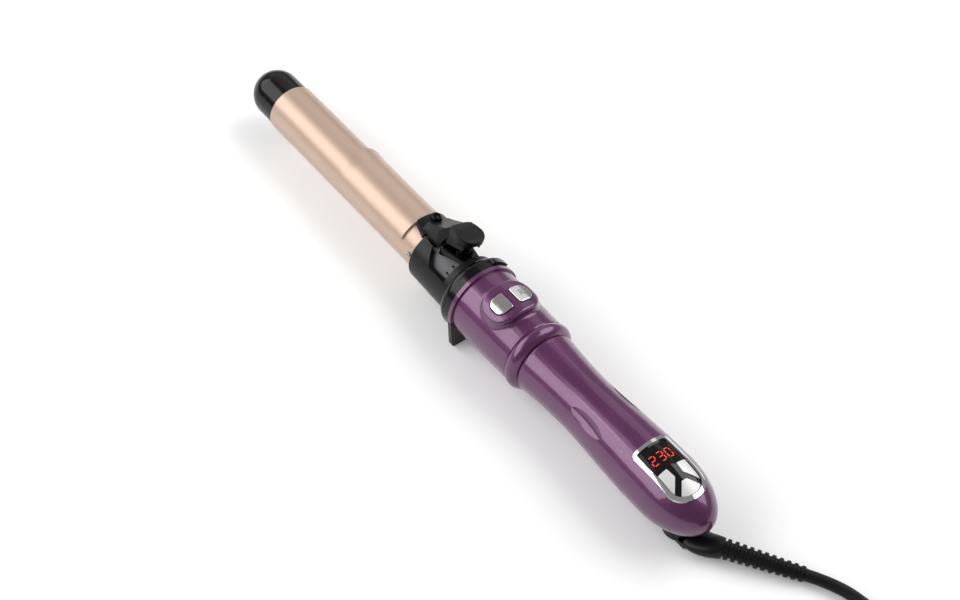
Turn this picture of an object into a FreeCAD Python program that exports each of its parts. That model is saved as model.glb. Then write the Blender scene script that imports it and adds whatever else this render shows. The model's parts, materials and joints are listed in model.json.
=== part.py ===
import FreeCAD, Part
import math
import os

# Automatic hair curler: a clipped barrel that turns in front of a handle.
# X runs along the tool, tip towards -X and cord towards +X. +Z is up.
# The origin is on the surface the tool rests on, under the middle of its length.
# Heights in the helpers below are measured from the barrel's long axis.

V = FreeCAD.Vector

# ---- driving dimensions, millimetres and degrees ----
AXIS_Z = 21.3            # barrel axis above the surface it rests on
CLIP_ROLL = 21.0         # the turning group is at rest this far round, towards +Y
GAP = 0.3                # clearance between pieces that move past each other

TIP_END_X = -187.0
TIP_R = 13.4
TIP_WALL = 2.5
BARREL_FRONT_X = -160.0
BARREL_REAR_X = -26.0
BARREL_R = 14.0
BARREL_WALL = 1.0
BARREL_BORE = BARREL_R - BARREL_WALL

CLIP_FRONT_X = -99.0
CLIP_REAR_X = -40.0
CLIP_IN_R = 14.3
CLIP_OUT_R = 15.4
CLIP_HALF_ANGLE = 78.0
CLIP_TONGUE_HALF = 8.0
CLIP_CORNER_R = 11.0

PIN_X, PIN_H, PIN_R = -23.0, 16.5, 1.3
CLIP_PIN_HALF = 8.4
CLIP_SCREW_X, CLIP_SCREW_R = -35.2, 3.2
SADDLE_FRONT_X, SADDLE_REAR_X = -39.3, -29.6
SADDLE_OUT_R = 17.0
CLIP_TRAVEL = 15.0       # degrees that the thumb pad goes down
ARM_HALF, ARM_WAIST, ARM_BEVEL, CHEEK = 9.6, 7.3, 2.6, 3.0
EAR_IN, EAR_OUT, EAR_R = 4.6, 6.2, 2.6
THUMB_FRONT_X, THUMB_REAR_X = -19.5, -3.7
THUMB_LOW, THUMB_TOP = 21.0, 26.4
HOOD_HALF, HOOD_REAR_X, HOOD_WALL = 6.9, -5.4, 1.5
SPRING_X = -10.0
SPRING_R, SPRING_WIRE = 2.9, 0.38
SPRING_LOW, SPRING_HIGH = 13.6, 21.9

COLLAR_FRONT_X, COLLAR_REAR_X = -29.0, 1.6
COLLAR_FRONT_R, COLLAR_REAR_R = 16.6, 17.4
COLLAR_WALL = 1.8
WINDOW_FRONT_X, WINDOW_REAR_X = -21.5, -1.8
WINDOW_SILL, WINDOW_SLOPE_X = 4.5, -14.8
SLOT_HALF = 11.4
CORE_R = 13.5
HOUSING_LOW, HOUSING_TOP, HOUSING_TUBE_TOP = 9.0, 14.2, 15.6
BARREL_SCREW_X = -32.4
BARREL_SCREW_ANGLES = (-95.0, 95.0, 180.0)

SPINDLE_R, SPINDLE_TAIL_R, SPINDLE_BORE = 5.0, 3.5, 2.6
GEAR_X, GEAR_WIDTH = 20.0, 5.0
GEAR_MODULE, GEAR_TEETH, PINION_TEETH = 0.6, 24, 12
PINION_DROP = GEAR_MODULE * (GEAR_TEETH + PINION_TEETH) / 2
RING_XS = (33.0, 39.0, 45.0)
RING_R, RING_WIDTH = 5.2, 2.6

RIM_X = 11.2             # front face of the handle shells
RIM_R, RIM_WIDTH = 21.1, 2.2
HEAD_R, HEAD_REAR_R = 19.9, 19.1
BEAD_FRONT_X, BEAD_REAR_X, BEAD_R = 54.4, 61.3, 19.95
GROOVE_X, GROOVE_R = 62.5, 16.1
GRIP_POINTS = ((64.6, 17.1), (76.0, 16.15), (95.0, 15.45), (121.0, 16.65), (140.0, 17.6), (155.0, 17.8))
END_CENTRE_X, END_LENGTH, END_R = 155.0, 32.0, 17.8
WALL = 2.2
SHELL_SCREW_XS = (68.0, 104.0, 130.0)

FOOT_DEPTH, FOOT_HALF, FOOT_TOP = 2.5, 20.6, -3.5
LUG_X0, LUG_X1, LUG_R, LUG_ANGLE = 4.0, 9.2, 21.9, 42.0

PAD_X0, PAD_X1, PAD_HALF, PAD_R = 23.9, 46.0, 14.2, 23.5
PAD_CORNER, PAD_TOP_FILLET, PAD_BASE_FILLET = 9.6, 1.6, 2.0
BUTTON_X0, BUTTON_X1 = 30.2, 40.8
BUTTON_IN, BUTTON_OUT = 2.2, 10.9
BUTTON_PROUD, BUTTON_TRAVEL = 0.9, 0.8

BEZEL_X0, BEZEL_X1, BEZEL_HALF = 140.8, 177.0, 10.6
BEZEL_RING = 1.9
BEZEL_PROUD = 0.9
KEY_TRAVEL = 0.4

SWIVEL_X, SWIVEL_R, SWIVEL_PIN_R = 167.6, 8.5, 5.0
SEAT_R, SEAT_FACE = 9.2, -17.9
RELIEF_START = (191.9, 6.0, 5.4)
RELIEF_END = (225.6, 27.5, 3.95)
RELIEF_RIBS = 11
RELIEF_WEB, RELIEF_WEB_ANGLE = 2.6, 45.0
CORD_R = 3.0
# Where the cord lies, from the strain relief to the coil: height is above the resting surface.
CORD_ROUTE = ((225.6, 27.5, 3.95), (239.0, 36.05, 3.38), (258.0, 39.6, 3.1),
              (279.0, 40.5, 3.1), (300.0, 40.1, 3.6))
COIL_X, COIL_Y = 304.0, 0.2
COIL_OUT_R, COIL_IN_R = 43.0, 23.0
COIL_LOW, COIL_HIGH = 0.5, 19.0
TIE_THICK, TIE_WIDTH, TIE_ANGLE = 0.5, 9.0, 20.0
PLUG_LENGTH, PLUG_WIDTH, PLUG_THICK = 34.0, 25.0, 13.4
PLUG_PIN_R, PLUG_PIN_LENGTH, PLUG_PIN_SPACING = 2.0, 19.0, 18.6

X_AXIS, Y_AXIS, Z_AXIS = V(1, 0, 0), V(0, 1, 0), V(0, 0, 1)
CENTRE = V(0, 0, AXIS_Z)


# ---- general helpers ----
def at(x, y, height):
    """A point given by its height over the barrel axis."""
    return V(x, y, AXIS_Z + height)


def closed_face(items, place):
    """Face from a list of (u, v) corners; (um, vm, u, v) is an arc through (um, vm)."""
    edges = []
    start = here = place(*items[0])
    for item in items[1:]:
        end = place(*item[-2:])
        if len(item) == 4:
            edges.append(Part.Arc(here, place(*item[:2]), end).toShape())
        else:
            edges.append(Part.LineSegment(here, end).toShape())
        here = end
    edges.append(Part.LineSegment(here, start).toShape())
    return Part.Face(Part.Wire(edges))


def turned(items):
    """Solid turned about the barrel axis from an (x, radius) outline."""
    face = closed_face(items, lambda x, r: at(x, 0, r))
    return face.revolve(CENTRE, X_AXIS, 360)


def rod(x0, x1, radius, y=0.0, height=0.0):
    return Part.makeCylinder(radius, x1 - x0, at(x0, y, height), X_AXIS)


def tube(x0, x1, r_out, r_in):
    return rod(x0, x1, r_out).cut(rod(x0, x1, r_in))


def post(x, y, low, high, radius):
    return Part.makeCylinder(radius, high - low, at(x, y, low), Z_AXIS)


def block(x0, x1, y0, y1, low, high):
    return Part.makeBox(x1 - x0, y1 - y0, high - low, at(x0, y0, low))


def rounded_face(corners, place):
    """Face from (u, v, radius) corners, each rounded with its own radius."""
    items = []
    count = len(corners)
    for i, (u, v, radius) in enumerate(corners):
        if radius == 0:
            items.append((u, v))
            continue
        to_prev = V(corners[i - 1][0] - u, corners[i - 1][1] - v, 0).normalize()
        after = corners[(i + 1) % count]
        to_next = V(after[0] - u, after[1] - v, 0).normalize()
        half = to_prev.getAngle(to_next) / 2
        run = radius / math.tan(half)
        middle = (to_prev + to_next).normalize() * (radius / math.sin(half) - radius)
        items.append((u + to_prev.x * run, v + to_prev.y * run))
        items.append((u + middle.x, v + middle.y, u + to_next.x * run, v + to_next.y * run))
    return closed_face(items, place)


def upright(corners, low, high):
    """Vertical prism with a rounded plan outline."""
    face = rounded_face(corners, lambda x, y: at(x, y, low))
    return face.extrude(V(0, 0, high - low))


def across(items, half_width):
    """Prism along Y with a side outline of (x, height) items."""
    face = closed_face(items, lambda x, h: at(x, -half_width, h))
    return face.extrude(V(0, 2 * half_width, 0))


def rolled(shape, angle=CLIP_ROLL):
    """Turn about the barrel axis, towards +Y."""
    turned_shape = shape.copy()
    turned_shape.rotate(CENTRE, X_AXIS, -angle)
    return turned_shape


def join(shapes):
    shapes = list(shapes)
    return shapes[0].multiFuse(shapes[1:]).removeSplitter()


def group(shapes):
    return Part.makeCompound(list(shapes))


def radial_screw(x, angle, head_r, seat_r, shank_r, tip_r):
    """Screw driven towards the axis; angle is measured from straight up, towards +Y."""
    head = Part.makeCylinder(head_r, 0.8, at(x, 0, seat_r), Z_AXIS)
    head = head.cut(block(x - head_r, x + head_r, -0.25, 0.25, seat_r + 0.4, seat_r + 1))
    shank = post(x, 0, tip_r, seat_r, shank_r)
    return rolled(join([head, shank]), angle)


# ---- barrel and heater ----
def cool_tip():
    dome_x = TIP_END_X + TIP_R
    inner = TIP_R - TIP_WALL
    c45 = math.sqrt(0.5)
    return turned([(TIP_END_X, 0),
                   (dome_x - TIP_R * c45, TIP_R * c45, dome_x, TIP_R),
                   (BARREL_FRONT_X, TIP_R), (BARREL_FRONT_X, BARREL_BORE - 0.1),
                   (BARREL_FRONT_X + 8, BARREL_BORE - 0.1), (BARREL_FRONT_X + 8, inner),
                   (dome_x, inner),
                   (dome_x - inner * c45, inner * c45, dome_x - inner, 0)])


def barrel_screw_holes():
    return group(rolled(post(BARREL_SCREW_X, 0, 9.0, 15.0, 1.1), a) for a in BARREL_SCREW_ANGLES)


def barrel_tube():
    return tube(BARREL_FRONT_X, BARREL_REAR_X, BARREL_R, BARREL_BORE).cut(barrel_screw_holes())


def barrel_screws():
    return group(radial_screw(BARREL_SCREW_X, a, 1.5, BARREL_R, 1.1, 9.5) for a in BARREL_SCREW_ANGLES)


SPREADER_X0, SPREADER_X1, SPREADER_FACE = -146.0, -46.0, 1.9


def heat_spreader():
    """Upper half, a D section with two hollow lobes; a channel in its crown takes a sensor."""
    half = rod(SPREADER_X0, SPREADER_X1, BARREL_BORE - 0.1)
    half = half.common(block(SPREADER_X0, SPREADER_X1, -14, 14, SPREADER_FACE, 14))
    lobes = rod(SPREADER_X0, SPREADER_X1, BARREL_BORE - 2.2)
    lobes = lobes.common(block(SPREADER_X0, SPREADER_X1, -14, 14, SPREADER_FACE + 2.2, 14))
    lobes = lobes.cut(block(SPREADER_X0, SPREADER_X1, -4, 4, 0, 14))
    return half.cut(lobes).cut(block(SPREADER_X0, SPREADER_X1, -2.5, 2.5, 8.0, 14))


def flipped(shape):
    return rolled(shape, 180)


def ptc_heater():
    return block(-140, -50, -8, 8, -SPREADER_FACE, SPREADER_FACE)


def thermistor():
    return join([rod(-66, -62, 1.3, 0, 9.4), rod(-66, -46, 0.7, 0, 9.4)])


def thermal_fuse():
    return join([rod(-74, -63, 1.3, 0, -9.4), rod(-78, -46, 0.4, 0, -9.4)])


def heater_leads():
    return group(rod(-49.8, 50, 0.7, y, 0) for y in (-1.5, 1.5))


# ---- turning collar, core and spindle ----
def barrel_core():
    body = turned([(-43, 6.5), (-43, BARREL_BORE - 0.05), (BARREL_REAR_X, BARREL_BORE - 0.05),
                   (BARREL_REAR_X, CORE_R), (-1.4, CORE_R), (-1.4, 15.5),
                   (COLLAR_REAR_X, 15.5), (COLLAR_REAR_X, SPINDLE_R), (-20, SPINDLE_R), (-20, 6.5)])
    ears = []
    for side in (-1, 1):
        ear = across([(PIN_X - EAR_R, 9), (PIN_X - EAR_R, PIN_H), (PIN_X, PIN_H + EAR_R, PIN_X + EAR_R, PIN_H),
                      (PIN_X + EAR_R, 9)], (EAR_OUT - EAR_IN) / 2)
        ear.translate(V(0, side * (EAR_OUT + EAR_IN) / 2, 0))
        ears.append(ear)
    notches = group(rolled(block(-6.5, -1.4, -0.5, 0.5, CORE_R - 1.2, CORE_R + 1), a)
                    for a in (-61, -42, 42, 61))
    whole = join([body] + ears).cut(notches)
    pin_hole = Part.makeCylinder(PIN_R, 24, at(PIN_X, -12, PIN_H), Y_AXIS)
    return whole.cut(pin_hole).cut(barrel_screw_holes())


def spring_housing():
    """Black block on the core's crown, with an upright tube that holds the foot of the spring."""
    base = upright([(-18.4, -9.8, 1.5), (-18.4, 9.8, 1.5), (-2.1, 5.8, 1.5), (-2.1, -5.8, 1.5)],
                   HOUSING_LOW, HOUSING_TOP)
    base = base.makeChamfer(0.6, [e for e in base.Edges if e.BoundBox.ZMin > AXIS_Z + HOUSING_TOP - 0.01])
    base = base.cut(rod(-20, 0, CORE_R))
    whole = join([base, post(SPRING_X, 0, HOUSING_TOP - 0.5, HOUSING_TUBE_TOP, 4.6)])
    return whole.cut(post(SPRING_X, 0, SPRING_LOW, 20, SPRING_R + SPRING_WIRE + 0.3))


def collar_shell():
    inner_r = COLLAR_FRONT_R - COLLAR_WALL
    shell = turned([(COLLAR_FRONT_X, BARREL_R + 0.05), (COLLAR_FRONT_X, COLLAR_FRONT_R - 0.8),
                    (COLLAR_FRONT_X + 0.25, COLLAR_FRONT_R - 0.25, COLLAR_FRONT_X + 0.8, COLLAR_FRONT_R),
                    (COLLAR_REAR_X, COLLAR_REAR_R), (COLLAR_REAR_X, 15.5), (-1.4, 15.5),
                    (-1.4, inner_r), (COLLAR_FRONT_X + 2.4, inner_r), (COLLAR_FRONT_X + 2.4, BARREL_R + 0.05)])
    slot = block(COLLAR_FRONT_X - 1, WINDOW_FRONT_X + 2, -SLOT_HALF, SLOT_HALF, 0, 20)
    slot = slot.cut(rod(COLLAR_FRONT_X - 2, WINDOW_REAR_X, BARREL_R - 1))
    window = across([(WINDOW_SLOPE_X, WINDOW_SILL), (WINDOW_FRONT_X, 12.6), (WINDOW_FRONT_X, 20),
                     (WINDOW_REAR_X, 20), (WINDOW_REAR_X, WINDOW_SILL)], 20)
    return shell.cut(slot).cut(window)


def clip_pin():
    return Part.makeCylinder(PIN_R, 2 * CLIP_PIN_HALF, at(PIN_X, -CLIP_PIN_HALF, PIN_H), Y_AXIS)


def spring_coil():
    height = SPRING_HIGH - SPRING_LOW - 2 * SPRING_WIRE
    helix = Part.makeHelix(height / 4.0, height, SPRING_R)
    section = Part.Wire(Part.makeCircle(SPRING_WIRE, V(SPRING_R, 0, 0), Y_AXIS))
    coil = Part.Wire(helix).makePipeShell([section], True, True)
    coil.translate(at(SPRING_X, 0, SPRING_LOW + SPRING_WIRE))
    return coil


def spindle():
    shaft = turned([(-20, SPINDLE_BORE), (-20, SPINDLE_R - 0.02), (30, SPINDLE_R - 0.02),
                    (30, SPINDLE_TAIL_R), (57.5, SPINDLE_TAIL_R), (57.5, SPINDLE_BORE)])
    return shaft


def gear(teeth, tooth_up, x0, width, bore):
    """Spur gear on the barrel axis; tooth_up puts a tooth, not a gap, straight up."""
    pitch_r = GEAR_MODULE * teeth / 2
    step = 2 * math.pi / teeth
    corners = []
    for i in range(teeth):
        centre = (i if tooth_up else i + 0.5) * step
        for radius, share in ((pitch_r - 1.2 * GEAR_MODULE, -0.34), (pitch_r, -0.225),
                              (pitch_r + 0.9 * GEAR_MODULE, -0.10), (pitch_r + 0.9 * GEAR_MODULE, 0.10),
                              (pitch_r, 0.225), (pitch_r - 1.2 * GEAR_MODULE, 0.34)):
            angle = centre + share * step
            corners.append((radius * math.sin(angle), radius * math.cos(angle)))
    face = closed_face(corners, lambda y, h: at(x0, y, h))
    return face.extrude(V(width, 0, 0)).cut(rod(x0 - 1, x0 + width + 1, bore))


def slip_ring_hub():
    return tube(30.4, 49.0, 4.3, SPINDLE_TAIL_R)


def slip_rings():
    return group(tube(x - RING_WIDTH / 2, x + RING_WIDTH / 2, RING_R, 4.3) for x in RING_XS)


# ---- clip: plate, lever and screw ----
def clip_plate():
    wrap = tube(CLIP_FRONT_X, CLIP_REAR_X, CLIP_OUT_R, CLIP_IN_R)
    sill = CLIP_OUT_R * math.cos(math.radians(CLIP_HALF_ANGLE))
    plan = upright([(CLIP_FRONT_X, -18, CLIP_CORNER_R), (CLIP_FRONT_X, 18, CLIP_CORNER_R),
                    (CLIP_REAR_X, 18, 0), (CLIP_REAR_X, -18, 0)], sill, 20)
    wrap = wrap.common(plan)
    lip = turned([(CLIP_FRONT_X, CLIP_IN_R + 0.75), (CLIP_FRONT_X, CLIP_OUT_R + 0.55),
                  (CLIP_FRONT_X + 8, CLIP_OUT_R), (CLIP_FRONT_X + 8, CLIP_IN_R),
                  (CLIP_FRONT_X + 3, CLIP_IN_R)])
    lip = lip.common(upright([(CLIP_FRONT_X, -10, 7), (CLIP_FRONT_X, 10, 7),
                              (CLIP_FRONT_X + 8, 14, 0), (CLIP_FRONT_X + 8, -14, 0)], 5, 20))
    tongue = tube(CLIP_REAR_X, SADDLE_REAR_X - 0.5, CLIP_OUT_R, CLIP_IN_R)
    tongue = tongue.common(block(CLIP_REAR_X, 0, -CLIP_TONGUE_HALF, CLIP_TONGUE_HALF, 5, 20))
    plate = wrap.cut(turned([(CLIP_FRONT_X, CLIP_IN_R - 1), (CLIP_FRONT_X, CLIP_IN_R + 0.75),
                             (CLIP_FRONT_X + 3, CLIP_IN_R - 0.01), (CLIP_FRONT_X + 3, CLIP_IN_R - 1)]))
    return join([plate, lip, tongue]).cut(post(CLIP_SCREW_X, 0, 8, 20, 1.2))


def lever_arm():
    """Ramp from the saddle up to the thumb pad, bevelled along both sides and hollow over the ears."""
    arm = across([(-33.5, 10), (-33.5, 16.9), (-29.4, 18.7), (-25.9, 20.5), (-20.2, 23.4), (-18.8, 25.2),
                  (-12, 25.2), (-12, THUMB_LOW + 1), (-17.0, THUMB_LOW - 1), (-18.9, PIN_H),
                  (-19.6, PIN_H - 3.0, -23.4, 10)], ARM_HALF)
    ramp = [e for e in arm.Edges if abs(e.tangentAt(e.FirstParameter).y) < 0.01
            and -33.6 < e.BoundBox.XMin and e.BoundBox.XMax < -20 and e.BoundBox.ZMin > AXIS_Z + 16.8]
    arm = arm.makeChamfer(ARM_BEVEL, ramp)
    hollow = across([(-28.2, 8), (-28.2, 17.2), (-25.2, 18.9), (-20.6, 21.2), (-16.0, 21.2), (-16.0, 8)],
                    ARM_HALF - CHEEK)
    arm = arm.cut(hollow)
    waist = [(-40, ARM_HALF, 0), (-21.8, ARM_HALF, 3.0), (-17.0, ARM_WAIST, 3.0), (-10, ARM_WAIST, 0)]
    mirrored = [(x, -y, corner) for x, y, corner in reversed(waist)]
    arm = arm.common(upright(waist + mirrored, 5, 30))
    arm = arm.cut(rod(-40, SADDLE_REAR_X, CLIP_OUT_R + 0.02))
    return arm.cut(rod(SADDLE_REAR_X, 0, BARREL_R + 0.45))


def pressed_line(clear):
    """Heights that come level, this far over the housing, once the lever is pressed right down."""
    turn = math.radians(CLIP_TRAVEL)
    drop = (HOUSING_TOP + clear - PIN_H) / math.cos(turn)
    return lambda x: PIN_H + drop + (x - PIN_X) * math.tan(turn)


def spring_hood():
    """Walls under the thumb pad round the spring, open at the rear."""
    low = pressed_line(0.5)
    front = -18.4
    side = across([(front, low(front)), (front, 23), (HOOD_REAR_X, 23), (HOOD_REAR_X, low(HOOD_REAR_X))], 10)
    outer = upright([(front, -HOOD_HALF, 0.8), (front, HOOD_HALF, 0.8),
                     (HOOD_REAR_X, HOOD_HALF - 0.6, 2.0), (HOOD_REAR_X, -HOOD_HALF + 0.6, 2.0)], 10, 23)
    inner = HOOD_HALF - HOOD_WALL
    hollow = block(front + HOOD_WALL, HOOD_REAR_X - HOOD_WALL, -inner, inner, 10, SPRING_HIGH)
    window = block(HOOD_REAR_X - 4, HOOD_REAR_X + 4, -inner + 0.8, inner - 0.8, 10, THUMB_LOW)
    return outer.common(side).cut(hollow).cut(window)


def thumb_pad():
    pad = upright([(THUMB_FRONT_X, -7.2, 3.6), (THUMB_FRONT_X, 7.2, 3.6),
                   (THUMB_REAR_X, 9.7, 6.8), (THUMB_REAR_X, -9.7, 6.8)], THUMB_LOW, 28)
    low_edges = [e for e in pad.Edges if e.BoundBox.ZMax < AXIS_Z + THUMB_LOW + 0.01]
    pad = pad.makeChamfer(1.3, low_edges)
    pad = pad.common(Part.makeCylinder(34, 30, at(-12.5, -15, THUMB_TOP - 34), Y_AXIS))
    top_edges = [e for e in pad.Edges if e.BoundBox.ZMin > AXIS_Z + THUMB_TOP - 2.0]
    pad = pad.makeFillet(0.8, top_edges)
    ribs = []
    for i in range(6):
        height = THUMB_TOP + 0.25 - 0.015 * (i - 2.6) ** 2
        ribs.append(Part.makeCylinder(0.5, 14, at(-17.4 + 1.9 * i, -7, height), Y_AXIS))
    return pad.cut(group(ribs))


def clip_lever():
    saddle = tube(SADDLE_FRONT_X, SADDLE_REAR_X, SADDLE_OUT_R, CLIP_OUT_R + 0.02)
    saddle = saddle.common(upright([(SADDLE_FRONT_X, -9.0, 1.2), (SADDLE_FRONT_X, 9.0, 1.2),
                                    (SADDLE_REAR_X, 11.3, 0), (SADDLE_REAR_X, -11.3, 0)], 5, 22))
    lever = join([saddle, lever_arm(), thumb_pad(), spring_hood()])
    lever = lever.cut(post(SPRING_X, 0, THUMB_LOW - 2, SPRING_HIGH, SPRING_R + SPRING_WIRE + 0.4))
    bore_half = CLIP_PIN_HALF + 0.1
    lever = lever.cut(Part.makeCylinder(PIN_R + 0.05, 2 * bore_half, at(PIN_X, -bore_half, PIN_H), Y_AXIS))
    lever = lever.cut(post(CLIP_SCREW_X, 0, SADDLE_OUT_R - 0.2, 20, CLIP_SCREW_R + 0.05))
    return lever.cut(post(CLIP_SCREW_X, 0, 10, 20, 1.2))


def clip_screw():
    head = turned_head(CLIP_SCREW_R, 2.8)
    head.translate(at(CLIP_SCREW_X, 0, SADDLE_OUT_R - 0.2))
    for half_x, half_y in ((2.3, 0.45), (0.45, 2.3)):
        head = head.cut(block(CLIP_SCREW_X - half_x, CLIP_SCREW_X + half_x, -half_y, half_y,
                              SADDLE_OUT_R + 1.2, SADDLE_OUT_R + 4))
    return join([head, post(CLIP_SCREW_X, 0, CLIP_IN_R + 0.1, SADDLE_OUT_R + 0.1, 1.2)])


def turned_head(radius, height):
    """Domed screw head standing on the local XY plane."""
    items = [(0, 0), (radius, 0), (radius, height * 0.45), (radius * 0.72, height * 0.88, 0, height)]
    face = closed_face(items, lambda u, v: V(u, 0, v))
    return face.revolve(V(0, 0, 0), Z_AXIS, 360)


# ---- handle ----
def handle_body(inset):
    """The handle's outer form, or the same form drawn in by an inset."""
    centre = at(END_CENTRE_X, 0, 0)
    ellipse = Part.Ellipse(at(END_CENTRE_X + END_LENGTH - inset, 0, 0),
                           at(END_CENTRE_X, 0, END_R - inset), centre)
    end_cap = Part.ArcOfEllipse(ellipse, 0, math.pi / 2).toShape()
    grip = Part.BSplineCurve()
    grip.interpolate(Points=[at(x, 0, r - inset) for x, r in GRIP_POINTS],
                     InitialTangent=V(1, 0, -0.1), FinalTangent=V(1, 0, 0))
    grip_x, grip_r = GRIP_POINTS[0]
    mid_x = (RIM_X + BEAD_FRONT_X) / 2
    path = [(RIM_X, 0), (RIM_X, HEAD_R - inset),
            (mid_x, (HEAD_R + HEAD_REAR_R) / 2 + 0.12 - inset, BEAD_FRONT_X, HEAD_REAR_R - inset)]
    if inset > 1:
        path += [(BEAD_REAR_X - 3.0, HEAD_REAR_R - inset), (GROOVE_X - 1.2, GROOVE_R - inset),
                 (grip_x, grip_r - inset)]
    else:
        path += [(BEAD_FRONT_X + 0.5, HEAD_REAR_R - 0.35 - inset),
                 ((BEAD_FRONT_X + BEAD_REAR_X) / 2 + 0.2, BEAD_R - inset,
                  BEAD_REAR_X, HEAD_REAR_R - 0.9 - inset),
                 (BEAD_REAR_X + 0.75, HEAD_REAR_R - 1.9 - inset, GROOVE_X, GROOVE_R - inset),
                 (GROOVE_X + 0.6, GROOVE_R + 0.75 - inset, grip_x, grip_r - inset)]
    edges = []
    here = at(path[0][0], 0, path[0][1])
    for item in path[1:]:
        end = at(item[-2], 0, item[-1])
        if len(item) == 4:
            edges.append(Part.Arc(here, at(item[0], 0, item[1]), end).toShape())
        else:
            edges.append(Part.LineSegment(here, end).toShape())
        here = end
    edges += [grip.toShape(), end_cap]
    edges.append(Part.LineSegment(at(END_CENTRE_X + END_LENGTH - inset, 0, 0), at(RIM_X, 0, 0)).toShape())
    wire = Part.Wire(Part.sortEdges(edges)[0])
    return Part.Face(wire).revolve(CENTRE, X_AXIS, 360)


def skin(outer_inset, inner_inset):
    """Layer between two insets of the handle's outer form."""
    return handle_body(outer_inset).cut(handle_body(inner_inset))


def pad_plan(shrink):
    x0, x1, half, corner = PAD_X0 + shrink, PAD_X1 - shrink, PAD_HALF - shrink, PAD_CORNER - shrink
    return [(x0, -half, corner), (x0, half, corner), (x1, half, corner), (x1, -half, corner)]


def button_pad():
    raised = upright(pad_plan(0), 8, 26).common(rod(PAD_X0 - 1, PAD_X1 + 1, PAD_R))
    top_edges = [e for e in raised.Edges
                 if all(abs(math.hypot(p.y, p.z - AXIS_Z) - PAD_R) < 0.01 for p in e.discretize(5))]
    return raised.makeFillet(PAD_TOP_FILLET, top_edges)


def over_pad(edge):
    """Whether an edge is where the raised pad meets the head of the handle."""
    points = [edge.valueAt(t) for t in (edge.FirstParameter, edge.LastParameter)]
    radii = [math.hypot(p.y, p.z - AXIS_Z) for p in points]
    return (all(PAD_X0 - 0.1 < p.x < PAD_X1 + 0.1 and abs(p.y) < PAD_HALF + 0.1 and p.z > AXIS_Z + 10
                for p in points) and HEAD_REAR_R - 0.3 < min(radii) and max(radii) < HEAD_R + 0.3)


def button_plan(side, grow):
    """Button outline in plan; its outer corners are rounder. side is -1 or 1 in Y."""
    x0, x1 = BUTTON_X0 - grow, BUTTON_X1 + grow
    inner, outer = side * (BUTTON_IN - grow), side * (BUTTON_OUT + grow)
    return [(x0, inner, 1.0), (x1, inner, 1.0), (x1, outer, 4.0), (x0, outer, 4.0)]


def bezel_plan(shrink):
    x0, x1, half = BEZEL_X0 + shrink, BEZEL_X1 - shrink, BEZEL_HALF - shrink
    rear = half - 0.25
    front = max(3.0 - shrink, 1.2)
    return [(x0, -half, front), (x0, half, front), (x1, half, rear), (x1, -half, rear)]


def handle_form():
    return join([handle_body(0), rod(RIM_X, RIM_X + RIM_WIDTH, RIM_R), button_pad()])


def half_space(upper):
    low, high = (0, 60) if upper else (-60, 0)
    return block(-10, 200, -60, 60, low, high)


def grip_scallops():
    """A long shallow leaf pressed into each side of the grip's upper half."""
    length, depth, off = 50.0, 7.0, 21.6
    spindle_face = closed_face([(-length / 2, 0), (0, depth, length / 2, 0)], lambda u, v: V(u, 0, v))
    leaf = spindle_face.revolve(V(0, 0, 0), X_AXIS, 360)
    leaf.translate(at(108, 0, off))
    return group(rolled(leaf, a) for a in (-50, 50))


def handle_upper():
    shell = handle_form().common(half_space(True))
    shell = shell.makeFillet(PAD_BASE_FILLET, [e for e in shell.Edges if not e.Degenerated and over_pad(e)])
    shell = shell.cut(handle_body(WALL))
    hollow = upright(pad_plan(2.0), 8, 26).common(rod(PAD_X0, PAD_X1, PAD_R - 2.0))
    shell = shell.cut(hollow)
    for side in (-1, 1):
        shell = shell.cut(upright(button_plan(side, 0.3), 15, 30))
    shell = shell.cut(upright(bezel_plan(-0.02), 5, 30)).cut(grip_scallops())
    bosses = [post(x, 0, 0, 22.0, 2.8).common(handle_body(1.0)) for x in SHELL_SCREW_XS]
    shell = join([shell] + bosses)
    return shell.cut(group(post(x, 0, -1, 9.0, 1.0) for x in SHELL_SCREW_XS))


def handle_lower():
    shell = handle_form().common(half_space(False))
    shell = shell.cut(handle_body(WALL))
    foot_room = block(RIM_X, RIM_X + RIM_WIDTH, -30, 30, -30, FOOT_TOP).cut(rod(RIM_X, RIM_X + 3, HEAD_R))
    shell = shell.cut(foot_room).cut(post(SWIVEL_X, 0, -30, 0, SEAT_R))
    bosses = [post(x, 0, -17.0, 0, 2.8).common(handle_body(0.0)) for x in SHELL_SCREW_XS]
    shell = join([shell] + bosses)
    for x in SHELL_SCREW_XS:
        shell = shell.cut(post(x, 0, -20, 1, 1.2)).cut(post(x, 0, -20, -10.5, 2.3))
    return shell


def shell_screws():
    parts = []
    for x in SHELL_SCREW_XS:
        head = post(x, 0, -12.3, -10.5, 2.2).cut(block(x - 1.6, x + 1.6, -0.35, 0.35, -13, -11.6))
        parts.append(join([head, post(x, 0, -10.6, 8.0, 0.98)]))
    return group(parts)


def rest_foot():
    outline = [(-RIM_R, FOOT_TOP, 0), (-FOOT_HALF, -AXIS_Z, 2.6),
               (FOOT_HALF, -AXIS_Z, 2.6), (RIM_R, FOOT_TOP, 0)]
    plate = rounded_face(outline, lambda y, h: at(RIM_X, y, h)).extrude(V(FOOT_DEPTH, 0, 0))
    return plate.cut(rod(RIM_X - 1, RIM_X + 4, HEAD_R + 0.02))


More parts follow.
